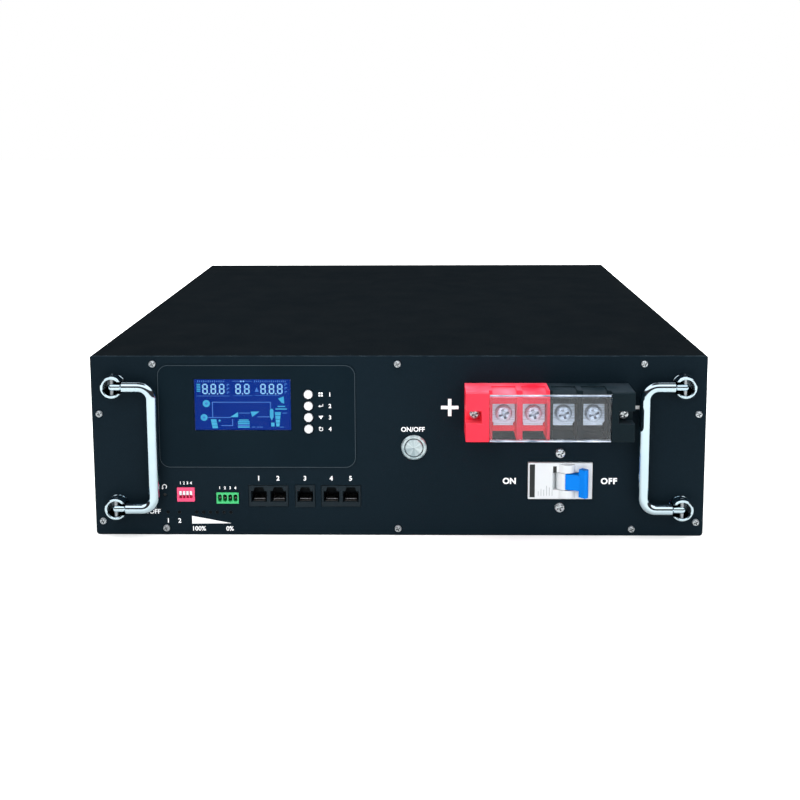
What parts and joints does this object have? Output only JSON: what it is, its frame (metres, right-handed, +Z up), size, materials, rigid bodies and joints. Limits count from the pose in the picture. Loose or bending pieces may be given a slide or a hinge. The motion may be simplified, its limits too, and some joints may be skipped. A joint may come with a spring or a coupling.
{
  "type": "rack battery pack",
  "caption": "Flat black steel battery pack for a rack or shelf, with folding handles, a display, data ports, a breaker and a covered terminal block on its front.",
  "frame": {"origin": "centre of the case's underside; the terminal block and handles stand in front of the case", "axes": "+Z up, +X to the right seen from the front, -Y out of the front panel"},
  "size_m": [0.442, 0.5086, 0.133],
  "materials": {
    "case_paint": "fine-textured matt black powder coat",
    "panel_paint": "fine-textured matt blue-black powder coat",
    "bright_screw": "bright zinc plate",
    "chrome": "polished chrome plate",
    "plated_steel": "zinc plate",
    "fascia_film": "fine matt printed film",
    "display_glass": "clear pane over a lit blue display",
    "display_frame": "pressed frame",
    "board_green": "solder mask",
    "key_white": "smooth white",
    "switch_black": "moulded",
    "button_steel": "brushed",
    "light_pipe": "clear",
    "bank_red": "moulded",
    "header_green": "moulded",
    "jack_black": "moulded",
    "contact_gold": "gold flash",
    "breaker_white": "fine moulded texture",
    "toggle_blue": "moulded",
    "terminal_red": "moulded",
    "terminal_black": "moulded",
    "nickel": "bright nickel plate",
    "clear_cover": "clear moulded polycarbonate",
    "bare_aluminium": "mill finish",
    "copper": "bare copper",
    "ribbon_grey": "flat cable",
    "pad_rubber": "foam",
    "cell_blue": "blue film on a can",
    "insulation_sheet": "fibreboard"
  },
  "bodies": {
    "pack": {"base_tray": "case_paint", "top_cover": "case_paint", "cover_screws": "bright_screw", "front_panel": "panel_paint", "panel_screws": "bright_screw", "handle_cups": "chrome", "handle_pins": "plated_steel", "handle_nuts": "plated_steel", "display_fascia": "fascia_film", "display_window": "display_glass", "display_module": "display_frame", "display_board": "board_green", "push_switches": "switch_black", "board_nuts": "plated_steel", "button_housing": "button_steel", "button_nut": "plated_steel", "port_board": "board_green", "light_pipes": "light_pipe", "bank_body": "bank_red", "contact_header": "header_green", "paired_jacks": "jack_black", "single_jack": "jack_black", "port_contacts": "contact_gold", "breaker_body": "breaker_white", "breaker_bracket": "plated_steel", "block_screws": "bright_screw", "terminal_block_red": "terminal_red", "terminal_block_black": "terminal_black", "terminal_bars": "nickel", "clamp_plates": "nickel", "clamp_screws": "nickel", "control_board": "board_green", "heat_sink": "bare_aluminium", "positive_bar": "copper", "positive_link": "copper", "negative_bar": "copper", "negative_link": "copper", "ribbon_cables": "ribbon_grey", "base_pad": "pad_rubber", "cells_front_row": "cell_blue", "cells_rear_row": "cell_blue", "cell_links": "bare_aluminium", "link_cover": "insulation_sheet", "end_plates": "bare_aluminium", "stack_bands": "plated_steel"},
    "handle_left": {"handle_left": "chrome"},
    "handle_right": {"handle_right": "chrome"},
    "power_button": {"power_button": "button_steel"},
    "key_menu": {"key_menu": "key_white"},
    "key_enter": {"key_enter": "key_white"},
    "key_down": {"key_down": "key_white"},
    "key_escape": {"key_escape": "key_white"},
    "reset_plunger": {"reset_plunger": "switch_black"},
    "bank_slider_1": {"bank_slider_1": "key_white"},
    "bank_slider_2": {"bank_slider_2": "key_white"},
    "bank_slider_3": {"bank_slider_3": "key_white"},
    "bank_slider_4": {"bank_slider_4": "key_white"},
    "breaker_toggle": {"toggle_drum": "breaker_white", "breaker_toggle": "toggle_blue"},
    "terminal_cover": {"terminal_cover": "clear_cover"}
  },
  "joints": [
    {"name": "handle_left_swing", "type": "hinge", "parent": "pack", "child": "handle_left", "pos_m": [-0.204, -0.2465, 0.067], "axis": [0, 0, -1], "range_deg": [0, 90]},
    {"name": "handle_right_swing", "type": "hinge", "parent": "pack", "child": "handle_right", "pos_m": [0.204, -0.2465, 0.067], "axis": [0, 0, 1], "range_deg": [0, 90]},
    {"name": "power_press", "type": "slide", "parent": "pack", "child": "power_button", "axis": [0, 1, 0], "range_m": [0, 0.0025], "stiffness_N_per_m": 800},
    {"name": "key_menu_press", "type": "slide", "parent": "pack", "child": "key_menu", "axis": [0, 1, 0], "range_m": [0, 0.0005], "stiffness_N_per_m": 1500},
    {"name": "key_enter_press", "type": "slide", "parent": "pack", "child": "key_enter", "axis": [0, 1, 0], "range_m": [0, 0.0005], "stiffness_N_per_m": 1500},
    {"name": "key_down_press", "type": "slide", "parent": "pack", "child": "key_down", "axis": [0, 1, 0], "range_m": [0, 0.0005], "stiffness_N_per_m": 1500},
    {"name": "key_escape_press", "type": "slide", "parent": "pack", "child": "key_escape", "axis": [0, 1, 0], "range_m": [0, 0.0005], "stiffness_N_per_m": 1500},
    {"name": "reset_press", "type": "slide", "parent": "pack", "child": "reset_plunger", "axis": [0, 1, 0], "range_m": [0, 0.0005], "stiffness_N_per_m": 1500},
    {"name": "bank_slide_1", "type": "slide", "parent": "pack", "child": "bank_slider_1", "axis": [0, 0, -1], "range_m": [0, 0.002]},
    {"name": "bank_slide_2", "type": "slide", "parent": "pack", "child": "bank_slider_2", "axis": [0, 0, -1], "range_m": [0, 0.002]},
    {"name": "bank_slide_3", "type": "slide", "parent": "pack", "child": "bank_slider_3", "axis": [0, 0, -1], "range_m": [0, 0.002]},
    {"name": "bank_slide_4", "type": "slide", "parent": "pack", "child": "bank_slider_4", "axis": [0, 0, -1], "range_m": [0, 0.002]},
    {"name": "toggle_throw", "type": "hinge", "parent": "pack", "child": "breaker_toggle", "pos_m": [0.122, -0.2375, 0.0416], "axis": [0, 0, -1], "range_deg": [0, 100]},
    {"name": "cover_flip", "type": "hinge", "parent": "pack", "child": "terminal_cover", "pos_m": [0.1065, -0.26635, 0.1105], "axis": [-1, 0, 0], "range_deg": [0, 135]}
  ]
}
